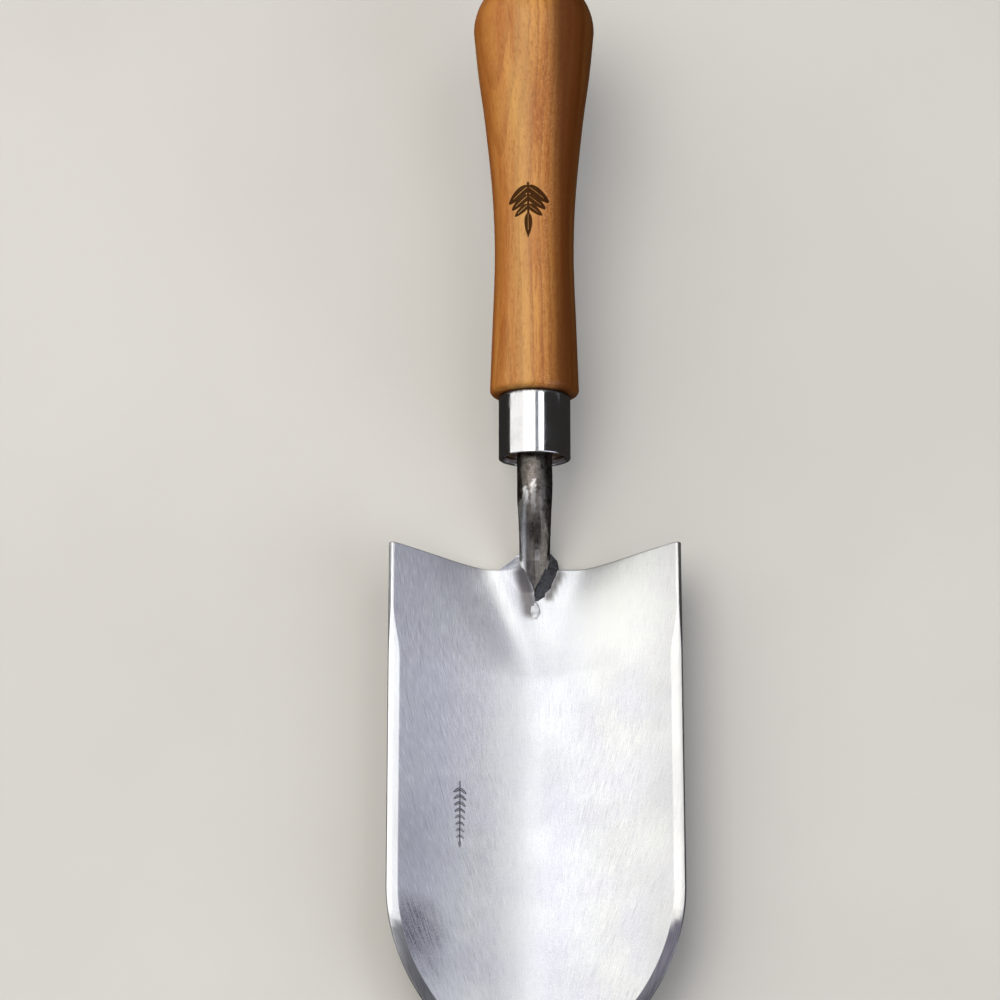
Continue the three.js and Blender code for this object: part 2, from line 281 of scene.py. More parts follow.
def blade_grid():
    """Plan position and nominal thickness of every column of every row, left edge to right edge.

    Rows and columns are close together where the stamped sprig lies, on the left wall.
    """
    runs = spread((0, 0.12, 0.12), (0.12, 0.5, 0.38), (0.5, 75, 1.0), (75, 103, 0.24),
                  (103, OUTLINE_LENGTH, 1.0))
    share = runs / OUTLINE_LENGTH
    edge, normal = blade_outline(runs)
    edge[-1, 0] = 0
    ground = smooth(runs, *BEVEL_START)
    bevel = mix(SQUARE_EDGE, BEVEL, ground)
    thin = mix(SHEET - SQUARE_EDGE / 2, BEVEL_EDGE, ground)
    inner = edge - normal * bevel[:, None]
    inner[0, 1] = 0
    inner[-1, 0] = 0
    tip_y = edge[-1, 1]
    spine = np.stack([np.zeros_like(share), (tip_y + TIP_RADIUS) * share], -1)
    near_edge = ((0.94, 0.994, 0.02), (0.994, 1, 0.006))
    flat = spread((0, 0.94, 1 / 34), *near_edge)
    stamped = spread((0, 0.5, 1 / 34), (0.5, 0.65, 0.0047), (0.65, 0.94, 1 / 34), *near_edge)
    rows = []
    for side, shares in ((-1, stamped[::-1]), (1, flat[1:])):
        inward = spine[:, None] + (inner - spine)[:, None] * shares[None, :, None]
        thick = np.full(inward.shape[:2], SHEET)
        outward = np.array([0.07, 0.5, 0.93, 1.0])
        band = inner[:, None] + (edge - inner)[:, None] * outward[None, :, None]
        round_off = np.array([0, 0, 0.02, 0.18])
        band_thick = SHEET + (thin - SHEET)[:, None] * outward[None, :] - round_off[None, :]
        plan = np.concatenate([inward, band] if side > 0 else [band[:, ::-1], inward], 1)
        depth = np.concatenate([thick, band_thick] if side > 0 else [band_thick[:, ::-1], thick], 1)
        plan[..., 0] *= side
        rows.append((plan, depth))
    plan = np.concatenate([rows[0][0], rows[1][0]], 1)
    thick = np.concatenate([rows[0][1], rows[1][1]], 1)
    thick[0] -= HEEL_EASE
    return plan, thick


HEAT_LINE = ((-3.6, -1.6), (-1.5, -13.4), 0.8, 3.6)      # start, end, full within, gone beyond
# painted shade on the blade beside the right fillet
RIGHT_SHADE_LINE = ((7.6, -1.5), (4.3, -8.8), 0.5, 2.2)
# painted highlight on the heel flank beside the crease
HIGHLIGHT_LINE = ((-14.0, -1.0), (-2.5, -27.0), 0.3, 4.2)
# painted shade along the heel's crease
CREASE_SHADE_LINE = ((-27.0, -3.0), (-10.5, -27.0), 0.5, 7.5)
FACE_LINES = {"heat_tint_and_shade": [HEAT_LINE, RIGHT_SHADE_LINE], "dressed_and_highlight": [HIGHLIGHT_LINE], "crease_shade": [CREASE_SHADE_LINE]}
WORN_FROM = (113, 119)       # distance from the shoulder line where the bevel becomes dull
WORN_EDGE = 0.55


def line_share(points, start, end, full, gone):
    """1 along a short line in plan, fading out on both sides of it."""
    start, end = np.array(start), np.array(end)
    run = end - start
    along = np.clip((points[:, :2] - start) @ run / (run @ run), 0, 1)
    away = np.linalg.norm(points[:, :2] - start - along[:, None] * run, axis=1)
    return 1 - smooth(away, full, gone)


def make_blade():
    plan, thick = blade_grid()
    rows, columns = thick.shape
    x, y = plan[..., 0], plan[..., 1]
    stamp = stamp_cover(x, y) * (x < 0)
    front = sheet_points(x, y, thick - STAMP_DEPTH * stamp)
    rim = sheet_points(x, y, np.minimum(thick, RIM_HIGH))[:, [0, -1]]
    back = sheet_points(x, y, np.zeros_like(thick))
    ripple = wobble(front.reshape(-1, 3), 16.0, 3.1).reshape(rows, columns)
    from_edge = np.minimum(np.arange(columns), columns - 1 - np.arange(columns))
    from_tip = np.linspace(1, 0, rows)[:, None]
    ripple = ripple * smooth(from_edge, 2, 12) * smooth(-y, 18, 45) * smooth(from_tip, 0, 0.06) * RIPPLE
    front[..., 2] += ripple
    back[..., 2] += np.maximum(ripple, -back[..., 2])
    points = np.concatenate([front, back, rim], 1)
    wide = points.shape[1]
    kept, faces = join_tip(points, blade_faces(rows, columns, wide), rows, wide)
    placed = points.reshape(-1, 3)[kept]
    piece = tool_object("blade_sheet", placed, faces, ["blade"])

    def on_front(values, on_rim=0.0):
        """Values of the front's grid at the kept points, 0 on the back, and on_rim along the rim."""
        full = np.zeros((rows, wide))
        full[:, :columns] = values
        full[:, 2 * columns:] = on_rim
        return full.reshape(-1)[kept]

    for name, lines in FACE_LINES.items():
        share = np.max([line_share(placed, *line) for line in lines], axis=0)
        mark(piece, name, share * on_front(1.0))
    mark(piece, "stamp", on_front(stamp))
    bevelled = np.isin(np.arange(columns), [0, 1, 2, 3, columns - 4, columns - 3, columns - 2, columns - 1])
    mark(piece, "ground", on_front(bevelled, 1.0))
    ragged = wobble(front.reshape(-1, 3), 2.2, 7.4).reshape(rows, columns) * 3
    worn = bevelled * smooth(ragged - y, *WORN_FROM)
    worn[:, [0, columns - 1]] *= WORN_EDGE
    mark(piece, "worn", on_front(worn))
    return piece


def blade_faces(rows, columns, wide):
    """Quads round each pair of rows (front, right rim, back, left rim), and the heel's own faces."""
    order = [*range(columns), 2 * columns + 1, *range(2 * columns - 1, columns - 1, -1), 2 * columns]
    faces = []
    for row in range(rows - 1):
        for column, following in zip(order, order[1:] + order[:1]):
            a, b = row * wide + column, row * wide + following
            faces.append((a, b, b + wide, a + wide))
    for column in range(columns - 1):
        faces.append((column + 1, column, columns + column, columns + column + 1))
    faces.append((0, 2 * columns, columns))
    faces.append((columns - 1, 2 * columns - 1, 2 * columns + 1))
    return faces


def join_tip(points, faces, rows, wide):
    """Merges the two halves of the last row, which lie on the spine, and drops unused points."""
    last = (rows - 1) * wide
    flat = points.reshape(-1, 3)
    target = np.arange(len(flat))
    seen = {}
    for i in range(last, last + wide):
        key = tuple(np.round(flat[i], 3) + 0.0)
        target[i] = seen.setdefault(key, i)
    moved = []
    for face in faces:
        corners = []
        for corner in (target[c] for c in face):
            if corner not in corners:
                corners.append(corner)
        if len(corners) > 2:
            moved.append(corners)
    used = sorted({c for face in moved for c in face})
    place = {old: new for new, old in enumerate(used)}
    return np.array(used), [tuple(place[c] for c in face) for face in moved]


# ---- handle and ferrule ----

def catmull(points, per_stretch):
    """Uniform Catmull-Rom spline through points, with its ends doubled."""
    p = [np.array(q, float) for q in points]
    p = [p[0]] + p + [p[-1]]
    out = []
    for a, b, c, d in zip(p, p[1:], p[2:], p[3:]):
        for t in np.arange(per_stretch) / per_stretch:
            leave, arrive = (c - a) / 2, (d - b) / 2
            cubic = 2 * b - 2 * c + leave + arrive
            square = -3 * b + 3 * c - 2 * leave - arrive
            out.append(cubic * t**3 + square * t**2 + leave * t + b)
    return np.array(out + [p[-2]])


def handle_outside(distance):
    """Radius of the wood at distances from its shoulder, up to the widest place of the bulb."""
    curve = catmull([(0, SHOULDER_RADIUS)] + GRIP + [(BULB_AT, BULB_RADIUS)], 40)
    return np.interp(distance, curve[:, 0], curve[:, 1])


EMBLEM_AT = 57.0            # distance of the emblem's middle from the wood's shoulder
EMBLEM_TURN = math.radians(-9)
EMBLEM_LENGTH = 15.0
EMBLEM_DEPTH = 0.18
UNEVEN = 0.04                # unevenness of the turned surface


def emblem_cover(distance, turn):
    """Burnt emblem: one leafy sprig that points towards the blade."""
    radius = handle_outside(EMBLEM_AT)
    u = (turn - EMBLEM_TURN) * radius
    v = EMBLEM_AT + EMBLEM_LENGTH / 2 - distance
    return sprig(u, v, EMBLEM_LENGTH * 0.66, 3, 8.2, 3.2, 0.6, 0.3)


def place_turned(distance, radius, turn):
    """Places at a distance along the handle's axis, a radius, and a turn from the top."""
    right = radius * np.sin(turn)
    lift = radius * np.cos(turn)
    return MOUTH + distance[..., None] * AXIS + lift[..., None] * LIFT + right[..., None] * RIGHT


def bore_radius(distance):
    """Radius of the tang's bore at a distance from the ferrule's mouth."""
    return mix(NECK_RADIUS, TANG_END_RADIUS, min(distance / TANG_DEPTH, 1)) + GAP


def handle_profile():
    """Stations of the turned wood as (distance from the mouth, radius), from the bore's end to the tip."""
    ease = 0.3
    spigot = FERRULE_OUTER - FERRULE_WALL - GAP
    inside = [(d, bore_radius(d)) for d in spread((TANG_DEPTH + 2, SPIGOT_RECESS + ease, 8))]
    bore = bore_radius(0)
    mouth = [(SPIGOT_RECESS, bore + ease), (SPIGOT_RECESS, mix(bore, spigot, 0.5)),
             (SPIGOT_RECESS, spigot - ease), (SPIGOT_RECESS + ease, spigot)]
    neck = [(d, spigot) for d in spread((SPIGOT_RECESS + 4, FERRULE_LENGTH - 0.5, 6))]
    seat = [(FERRULE_LENGTH - 0.05, spigot + ease), (FERRULE_LENGTH, mix(spigot, SHOULDER_RADIUS, 0.35))]
    corner = [(FERRULE_LENGTH + SHOULDER_ROUND * (1 - math.cos(a)),
               SHOULDER_RADIUS - SHOULDER_ROUND * (1 - math.sin(a)))
              for a in np.radians(spread((0, 90, 11.25)))]
    along = spread((SHOULDER_ROUND + 1, 48, 1.2), (48, 66, 0.17), (66, BULB_AT, 1.2))
    grip = [(FERRULE_LENGTH + d, handle_outside(d)) for d in along]
    dome = [(FERRULE_LENGTH + BULB_AT + (HANDLE_LENGTH - BULB_AT) * math.sin(a), BULB_RADIUS * math.cos(a))
            for a in np.radians(spread((4, 88, 4)))]
    return np.array(inside + mouth + neck + seat + corner + grip + dome)


def turned_grid(profile, turn):
    """Distance, radius and turn of every point of a profile of (distance, radius) stations turned round."""
    distance = np.repeat(profile[:, :1], len(turn), 1)
    radius = np.repeat(profile[:, 1:], len(turn), 1)
    return distance, radius, np.repeat(turn[None, :], len(profile), 0)


def make_handle():
    profile = handle_profile()
    turn = np.radians(spread((-58, 42, 0.75), (42, 302, 4)))[:-1]
    distance, radius, turns = turned_grid(profile, turn)
    outside = (distance > FERRULE_LENGTH + 1) & (radius > 6)
    burn = emblem_cover(distance - FERRULE_LENGTH, turns) * outside
    points = place_turned(distance, radius, turns)
    uneven = wobble(points.reshape(-1, 3) * [1, 0.35, 1], 9.0, 7.7).reshape(radius.shape)
    radius = radius - EMBLEM_DEPTH * burn + np.where(outside, UNEVEN * (uneven - 1), 0)
    points = place_turned(distance, radius, turns).reshape(-1, 3)
    rings, sides = radius.shape
    poles = np.array([MOUTH + AXIS * profile[0, 0], MOUTH + AXIS * (FERRULE_LENGTH + HANDLE_LENGTH)])
    faces = closed_faces(rings, sides)
    piece = tool_object("handle_wood", np.concatenate([points, poles]), faces, ["handle"])
    mark(piece, "burn", np.append(burn.reshape(-1), [0, 0]))
    end_grain = (distance < FERRULE_LENGTH).astype(float)
    mark(piece, "hidden_end", np.append(end_grain.reshape(-1), [1, 0]))
    return piece


def make_ferrule():
    inner = FERRULE_OUTER - FERRULE_WALL
    top = FERRULE_LENGTH - GAP
    round_off = 0.28
    low_d, high_d = round_off, top - round_off
    low_r, high_r = inner + round_off, FERRULE_OUTER - round_off
    section = []
    corners = [(low_d, high_r, 180), (high_d, high_r, 90), (high_d, low_r, 0), (low_d, low_r, -90)]
    for d, r, start in corners:
        for a in np.radians(spread((start, start - 90, 18))):
            section.append((d + round_off * math.cos(a), r + round_off * math.sin(a)))
    turn = np.linspace(0, 2 * math.pi, 160, endpoint=False)
    points = place_turned(*turned_grid(np.array(section), turn)).reshape(-1, 3)
    faces = ring_faces(len(section), len(turn), joined=True)
    return tool_object("ferrule_tube", points, faces, ["ferrule"])


# ---- stem ----

def on_axis(distance):
    return MOUTH + AXIS * distance


def bezier(a, b, c, d, t):
    t = np.asarray(t)[:, None]
    return a * (1 - t) ** 3 + 3 * b * t * (1 - t) ** 2 + 3 * c * t**2 * (1 - t) + d * t**3


def stem_centres():
    """Centreline from the spear's point, over the crank, to the end of the tang."""
    floor = SHEET + GAP
    point = np.array([0, -LAP, floor + POINT_HIGH])
    lap = np.array([0, LAP_START, floor + LAP_HIGH])
    onward = lap + (lap - point) / np.linalg.norm(lap - point) * CRANK_PULL / 2
    first = point + (lap - point) * np.linspace(0, 1, 36, endpoint=False)[:, None]
    crank = bezier(lap, onward, on_axis(-CRANK_PULL), on_axis(-NECK_STRAIGHT),
                   np.linspace(0, 1, 90, endpoint=False))
    neck = on_axis(spread((-NECK_STRAIGHT, 3, 0.3), (3, TANG_DEPTH, 4))[:, None])
    return np.concatenate([first, crank, neck])


def stem_section(centre):
    """Half width and half height of the bar at a point of its centreline."""
    above = (centre - MOUTH) @ AXIS
    round_bar = mix(NECK_RADIUS, TANG_END_RADIUS, min(max(above / TANG_DEPTH, 0), 1))
    if centre[1] > LAP_START:
        forged = smooth(centre[1], LAP_START, FORGED_LENGTH)
        return mix(LAP_HALF, round_bar, forged), mix(LAP_HIGH, round_bar, forged)
    spear = 1 - ((LAP_START - centre[1]) / (LAP_START + LAP)) ** SPEAR_TAPER
    return max(LAP_HALF * spear, POINT_HIGH), centre[2] - SHEET - GAP


def stem_outline(centre, turn):
    """Shape of the section: round in the neck, eight-sided in the crank, a gable on the spear."""
    pitch = math.radians(45)
    corner = np.cos((turn + pitch / 2) % pitch - pitch / 2)
    eight = math.cos(math.radians(17)) / corner
    gable = 1 / (np.abs(np.sin(turn)) + np.abs(np.cos(turn)))
    forged = 1 - smooth(centre[1], LAP_START + 5, FORGED_LENGTH + 4)
    spear = 1 - smooth(centre[1], -3, LAP_START + 12)
    return mix(mix(np.ones_like(turn), eight, 0.6 * forged), gable, 0.75 * spear * (np.cos(turn) > -0.3))


FILED_FROM = 8.6             # distance below the mouth where the filed part starts, on top of the bar
CHIPS = [(-2.9, 0.85, 9.0, 14.2), (-0.5, 0.85, 7.2, 16.0)]       # place across, half width, start, end


def filed_share(points, turn, below):
    """Where the forge scale is filed away: 1 below a ragged line that runs down towards the right flank."""
    ragged = wobble(points * [1, 0.45, 0.45], 1.5, 2.2) * 2.6
    ragged += wobble(points * [1, 0.6, 0.6], 0.6, 6.1) * 0.8
    right = np.sin(np.clip(turn - math.radians(2), 0, math.pi / 2)) * 16
    left = np.sin(np.clip(-turn - math.radians(16), 0, math.pi / 2)) * 5
    filed = smooth(below - FILED_FROM - right - left + ragged, -0.15, 0.15)
    return np.maximum(filed, chip_share(points, turn, below))


def chip_share(points, turn, below):
    """Long chips of scale broken away above the filed part."""
    ragged = wobble(points * [0.6, 1, 1], 1.1, 4.4)
    share = np.zeros_like(turn)
    for across, half, start, end in CHIPS:
        inside = smooth(half + ragged * 0.5 - np.abs(points[:, 0] - across), -0.12, 0.12)
        along = smooth(below + ragged, start - 0.3, start + 0.3) * (1 - smooth(below, end - 3, end))
        share = np.maximum(share, inside * along * (np.abs(turn) < math.pi / 2))
    return share


def make_stem():
    centres = stem_centres()
    tangents = np.gradient(centres, axis=0)
    tangents /= np.linalg.norm(tangents, axis=1, keepdims=True)
    sides = 120
    turn = np.linspace(0, 2 * math.pi, sides, endpoint=False)
    rings = []
    for centre, tangent in zip(centres, tangents):
        up = np.cross(RIGHT, tangent)
        half, high = stem_section(centre)
        outline = stem_outline(centre, turn)
        across = np.outer(np.sin(turn) * half * outline, RIGHT)
        rings.append(centre + across + np.outer(np.cos(turn) * high * outline, up))
    rings = np.array(rings)
    points = rings.reshape(-1, 3)
    outward = (rings - centres[:, None]).reshape(-1, 3)
    outward /= np.linalg.norm(outward, axis=1, keepdims=True)
    turns = np.tile((turn + math.pi) % (2 * math.pi) - math.pi, len(centres))
    walked = np.cumsum(np.linalg.norm(np.diff(centres[::-1], axis=0), axis=1))[::-1]
    below = np.repeat(np.append(walked, 0) - TANG_DEPTH, sides)
    filed = filed_share(points, turns, below)
    lip = chip_share(points, turns, below) * mix(1.0, 0.4, smooth(points[:, 0], -2.0, -1.4))
    hammered = wobble(points * [1, 0.5, 0.7], 4.0, 1.7) * 0.2 + wobble(points, 1.3, 5.2) * 0.04
    scale = wobble(points, 0.7, 8.8) * 0.04 * (1 - filed)
    raised = hammered + scale - 0.13 - 0.09 * filed
    points = points + outward * raised[:, None]
    poles = np.array([centres[0] - tangents[0] * 0.2, centres[-1]])
    faces = closed_faces(len(centres), sides)
    piece = tool_object("stem_forged", np.concatenate([points, poles]), faces, ["stem"])
    mark(piece, "filed", np.append(filed, [1, 0]))
    mark(piece, "lip", np.append(lip, [0, 0]))
    return piece


# ---- welds ----

# Outer edge of each fillet on the blade as (y, distance from the spine), from the heel to the spear's point
LEFT_FOOT = [(3.4, 5.0), (2.2, 6.6), (0.3, 10.6), (-3, 9.0), (-7, 6.4), (-11, 3.6), (-12.5, 2.2)]
RIGHT_FOOT = [(3.4, 5.0), (1.9, 7.0), (0.4, 7.5), (-3.3, 6.3), (-6.5, 5.0), (-8.9, 3.4), (-10.2, 1.3)]


def spear_half(y):
    """Half width and ridge height of the spear at a place along the blade."""
    along = min(max((LAP_START - y) / (LAP_START + LAP), 0), 1)
    centre = mix(LAP_HIGH, POINT_HIGH, along) + SHEET + GAP
    return max(LAP_HALF * (1 - along**SPEAR_TAPER), 0.3), centre


def make_fillet(side, name, node, foot, bulge, seed):
    """Weld metal between the spear's flank and the blade, on the side -1 or 1; foot is its outer edge."""
    foot_y, foot_x = np.array(foot[::-1]).T
    low_end, high_end = foot_y[0], foot_y[-1]
    rings = []
    for y in spread((low_end, high_end, 0.25)):
        half, centre = spear_half(y)
        above = smooth(y, -0.3, high_end)
        out = max(np.interp(y, foot_y, foot_x), half + 0.2)
        low = mix(SHEET - 0.12, centre - 0.4, above)
        top = np.array([half * 0.8, mix(min(centre + 0.9, SHEET + 4.6), centre + 0.6, above)])
        top[1] = mix(SHEET + 0.1, top[1], smooth(y, low_end - 0.5, low_end + 5))
        middle = np.array([mix(half, out, 0.36), mix(low, top[1], 0.12)]) + bulge * np.array([0.5, 0.8])
        t = np.linspace(0, 1, 18)[:, None]
        curve = top * (1 - t) ** 2 + 2 * middle * t * (1 - t) + np.array([out, low]) * t**2
        inside = np.array([[out * 0.6, low - 0.15], [half * 0.3, low - 0.15], [half * 0.3, top[1] - 0.6]])
        section = np.concatenate([curve, inside])
        rings.append(np.stack([side * section[:, 0], np.full(len(section), y), section[:, 1]], -1))
    rings = np.array(rings)
    count = rings.shape[1]
    points = rings.reshape(-1, 3)
    rough = max(bulge, 0.15)
    lumps = wobble(points, 1.7, seed) * 0.3 * rough + wobble(points, 0.7, seed + 3) * 0.12 * rough
    points = points + np.outer(lumps, [side * 0.6, 0, 0.8])
    faces = ring_faces(len(rings), count)
    first_end = tuple(range(count - 1, -1, -1))
    last_end = tuple(range((len(rings) - 1) * count, len(rings) * count))
    faces += [first_end, last_end]
    if side < 0:
        faces = [f[::-1] for f in faces]
    piece = tool_object(name, points, faces, [node])
    mark(piece, "heat_tint_and_shade", line_share(points, *HEAT_LINE))
    return piece


def make_bead(name, node, centre, half, seed):
    """A small rippled bead of weld metal with these half sizes round its centre."""
    rings, sides = 20, 36
    points = []
    for i in range(1, rings):
        a = math.pi * i / rings
        for j in range(sides):
            b = 2 * math.pi * j / sides
            points.append((math.cos(a), math.sin(a) * math.cos(b), math.sin(a) * math.sin(b)))
    points = np.array(points + [(1, 0, 0), (-1, 0, 0)], float)
    bumps = 1 + 0.25 * wobble(points, 0.6, seed)
    points = points * bumps[:, None] * half + centre
    return tool_object(name, points, closed_faces(rings - 1, sides), [node])


# ---- materials ----

class Field:
    """A value that varies over a surface; each operation on it adds a node to its material."""

    def __init__(self, look, socket):
        self.look = look
        self.socket = socket

    def __add__(self, other):
        return self.look.math("ADD", self, other)

    def __sub__(self, other):
        return self.look.math("SUBTRACT", self, other)

    def __rsub__(self, other):
        return self.look.math("SUBTRACT", other, self)

    def __mul__(self, other):
        return self.look.math("MULTIPLY", self, other)

    def __truediv__(self, other):
        return self.look.math("DIVIDE", self, other)

    def __abs__(self):
        return self.look.math("ABSOLUTE", self)

    def span(self, from_low, from_high, to_low=0.0, to_high=1.0):
        """Eases from to_low, where this value is from_low, to to_high, where it is from_high."""
        inputs = {0: self, 1: from_low, 2: from_high, 3: to_low, 4: to_high}
        return self.look.node("ShaderNodeMapRange", inputs, interpolation_type="SMOOTHSTEP")


class Look:
    """A procedural material; most methods add one node and give back its output."""

    def __init__(self, name):
        self.material = bpy.data.materials.new(name)
        self.material.use_nodes = True
        self.tree = self.material.node_tree
        self.tone = (0, 0, 0)

    def node(self, kind, inputs=(), output=0, **settings):
        made = self.tree.nodes.new(kind)
        for key, value in settings.items():
            setattr(made, key, value)
        for key, value in dict(inputs).items():
            self.plug(made.inputs[key], value)
        return Field(self, made.outputs[output])

    def plug(self, socket, value):
        if isinstance(value, Field):
            self.tree.links.new(value.socket, socket)
        elif socket.type == "RGBA":
            socket.default_value = (*value, 1.0)
        else:
            socket.default_value = value

    def finish(self, **inputs):
        """Gives the shader its tone and its other inputs."""
        shader = self.tree.nodes["Principled BSDF"]
        self.plug(shader.inputs["Base Color"], self.tone)
        for key, value in inputs.items():
            self.plug(shader.inputs[key.replace("_", " ")], value)
        return self.material

    def math(self, operation, a, b=0.0):
        return self.node("ShaderNodeMath", {0: a, 1: b}, operation=operation)

    def larger(self, a, b):
        return self.math("MAXIMUM", a, b)

    def place(self):
        """Place in the frame, in metres."""
        return self.node("ShaderNodeTexCoord", output="Object")

    def split(self, vector):
        made = self.tree.nodes.new("ShaderNodeSeparateXYZ")
        self.plug(made.inputs[0], vector)
        return [Field(self, socket) for socket in made.outputs]

    def join(self, x, y, z):
        return self.node("ShaderNodeCombineXYZ", {0: x, 1: y, 2: z})

    def attribute(self, name):
        return self.node("ShaderNodeAttribute", attribute_name=name, output="Fac")

    def noise(self, scale, detail=2.0, roughness=0.5, at=None):
        """Noise at a vector, or at the place in the frame."""
        inputs = {"Vector": at or self.place(), "Scale": scale, "Detail": detail, "Roughness": roughness}
        return self.node("ShaderNodeTexNoise", inputs)

    def blend(self, share, a, b, mode="MIX"):
        return self.node("ShaderNodeMix", {0: share, 6: a, 7: b}, 2, data_type="RGBA", blend_type=mode)

    def coat(self, share, colour, mode="MIX"):
        """Lays a colour over the tone so far."""
        self.tone = self.blend(share, self.tone, colour, mode)

    def bump(self, height, strength, distance):
        return self.node("ShaderNodeBump", {"Height": height, "Strength": strength, "Distance": distance})


def near(look, centre, radius, softness):
    """1 close to a place in tool coordinates, fading to 0 at radius; centre and sizes in millimetres."""
    inputs = {0: look.place(), 1: tuple(to_frame(centre))}
    away = look.node("ShaderNodeVectorMath", inputs, output="Value", operation="DISTANCE")
    return away.span((radius - softness) * MM, radius * MM, 1.0, 0.0)


def spots(look, places, share=0.0):
    """The strongest of some round spots and a share; places lists (centre, radius, softness, strength)."""
    for centre, radius, softness, strength in places:
        share = look.larger(share, near(look, centre, radius, softness) * strength)
    return share


MARK_BEND = 1.25             # the grinding marks move sideways by bend * down**2 + lean * down, in metres
MARK_LEAN = 0.09
SPINE_SOFTNESS = 0.00006     # square metres over which they change sides at the spine
DARK_SPOTS = [((-42, -90, 18), 20, 18, 0.35)]
# painted highlights: bright spots on the right wall by the heel and on the lower left wall
HIGHLIGHT_SPOTS = [((20, -16, 8), 34, 32, 0.8), ((-22, -142, 5), 22, 20, 0.9), ((-21, -114, 5), 24, 22, 0.35)]
SMUDGES = [((-38.5, -119, 17), 16, 12, 1.0), ((-35, -129, 14), 12, 11, 0.7)]


class Grinding:
    """Coordinates and noises that follow the blade's grinding marks, which bend towards the spine."""

    def __init__(self, look):
        self.look = look
        self.x, y, _ = look.split(look.place())
        self.down = SHOULDER_Y * MM - y
        self.side = self.x / look.math("SQRT", self.x * self.x + SPINE_SOFTNESS)
        sideways = self.down * (self.down * MARK_BEND + MARK_LEAN)
        self.over = self.x + self.side * sideways + look.noise(22, 1) * 0.004
        self.hair = self.streaks(4800, 230, 1.0)
        self.marks = self.streaks(2700, 120, 4.0)
        self.cloud = look.noise(34, 3, 0.55)
        self.grain = look.noise(2300, 2, 0.6)

    def streaks(self, fine, long, seed, detail=1.0, roughness=0.5):
        at = self.look.join(self.over * fine, self.down * long, seed)
        return self.look.noise(1.0, detail, roughness, at)

    def tangent(self):
        """Direction across the marks, for the sheen."""
        return self.look.join(1.0, (self.down * (2 * MARK_BEND) + MARK_LEAN) * self.side * -1.0, 0.0)


def lay_ground_tones(look, steel):
    """Coats that cover the whole sheet: hue, grinding marks, clouds and grain."""
    hue = look.noise(55, 2, 0.5)
    broad = steel.streaks(420, 26, 8.0)
    look.tone = look.blend(hue.span(0.35, 0.65), (0.70, 0.70, 0.765), (0.75, 0.765, 0.775))
    look.coat(broad.span(0.3, 0.7, 0.25, 0.0), (0.60, 0.61, 0.66))
    look.coat(steel.hair.span(0.5, 0.72, 0.0, 0.5), (0.93, 0.94, 0.96))
    look.coat(steel.hair.span(0.28, 0.48, 0.45, 0.0), (0.46, 0.465, 0.53))
    look.coat(steel.marks.span(0.28, 0.42, 0.35, 0.0), (0.38, 0.385, 0.45))
    look.coat(steel.cloud.span(0.35, 0.62, 0.3, 0.0), (0.58, 0.58, 0.64))
    look.coat(steel.grain.span(0.52, 0.72, 0.0, 0.45), (0.90, 0.90, 0.92))
    look.coat(steel.grain.span(0.28, 0.46, 0.4, 0.0), (0.47, 0.47, 0.53))


def lay_painted_light_and_strokes(look, steel):
    """Darker metal towards both edges as painted shade, painted highlights along the spine and on a few
    spots, and strokes on the left wall.
    """
    above_toe = steel.down.span(0.122, 0.136, 1.0, 0.0)
    # painted shade: the left wall darkens towards its edge above the toe, the right wall towards its edge
    look.coat(steel.x.span(-0.038, -0.012, 0.6, 0.0) * above_toe, (0.48, 0.48, 0.54))
    look.coat(steel.x.span(0.026, 0.042, 0.0, 0.4), (0.58, 0.58, 0.58))
    look.coat(spots(look, DARK_SPOTS), (0.36, 0.36, 0.41))
    # painted highlight: a bright band along the spine, just left of the middle
    spine_highlight = abs(steel.x + 0.006).span(0.002, 0.012, 0.42, 0.0) * steel.down.span(0.016, 0.034)
    look.coat(spots(look, HIGHLIGHT_SPOTS, spine_highlight), (0.89, 0.90, 0.91))
    left_wall = steel.x.span(-0.022, 0.003, 1.0, 0.0)
    strokes = steel.streaks(5600, 240, 31.0)
    look.coat(strokes.span(0.52, 0.72, 0.0, 0.4) * left_wall, (0.90, 0.90, 0.93))
    look.coat(strokes.span(0.3, 0.48, 0.36, 0.0) * left_wall, (0.36, 0.36, 0.42))


def lay_blade_marks(look, steel):
    """Painted shade along the heel's crease, a painted highlight beside it, heat colour at the left weld,
    painted shade beside the right weld, hairlines and the smudge.
    """
    # painted shade along the heel's crease, on the wall side
    crease_shade = look.attribute("crease_shade") * steel.cloud.span(0.3, 0.6, 0.34, 0.2)
    look.coat(crease_shade, (0.42, 0.425, 0.48))
    # painted highlight: bright metal on the heel flank beside the crease, strongest near the shoulder
    dressed_and_highlight = look.attribute("dressed_and_highlight") * steel.marks.span(0.3, 0.6, 0.6, 0.9)
    look.coat(dressed_and_highlight * steel.down.span(0.014, 0.031, 1.0, 0.15), (0.93, 0.94, 0.94))
    # heat colour along the left fillet, and painted shade along the right fillet
    heat_and_shade = look.attribute("heat_tint_and_shade") * steel.cloud.span(0.2, 0.5, 0.7, 1.0)
    look.coat(heat_and_shade * 0.85, (0.13, 0.115, 0.11))
    hairline = steel.streaks(2300, 48, 21.0, 2.0, 0.6).span(0.62, 0.70, 0.0, 0.5)
    look.coat(hairline * steel.x.span(-0.031, -0.018, 1.0, 0.0), (0.25, 0.25, 0.29))
    broken = steel.grain.span(0.35, 0.62, 1.0, 0.6) * steel.marks.span(0.3, 0.66, 1.0, 0.5)
    look.coat(spots(look, SMUDGES) * broken, (0.12, 0.12, 0.155))


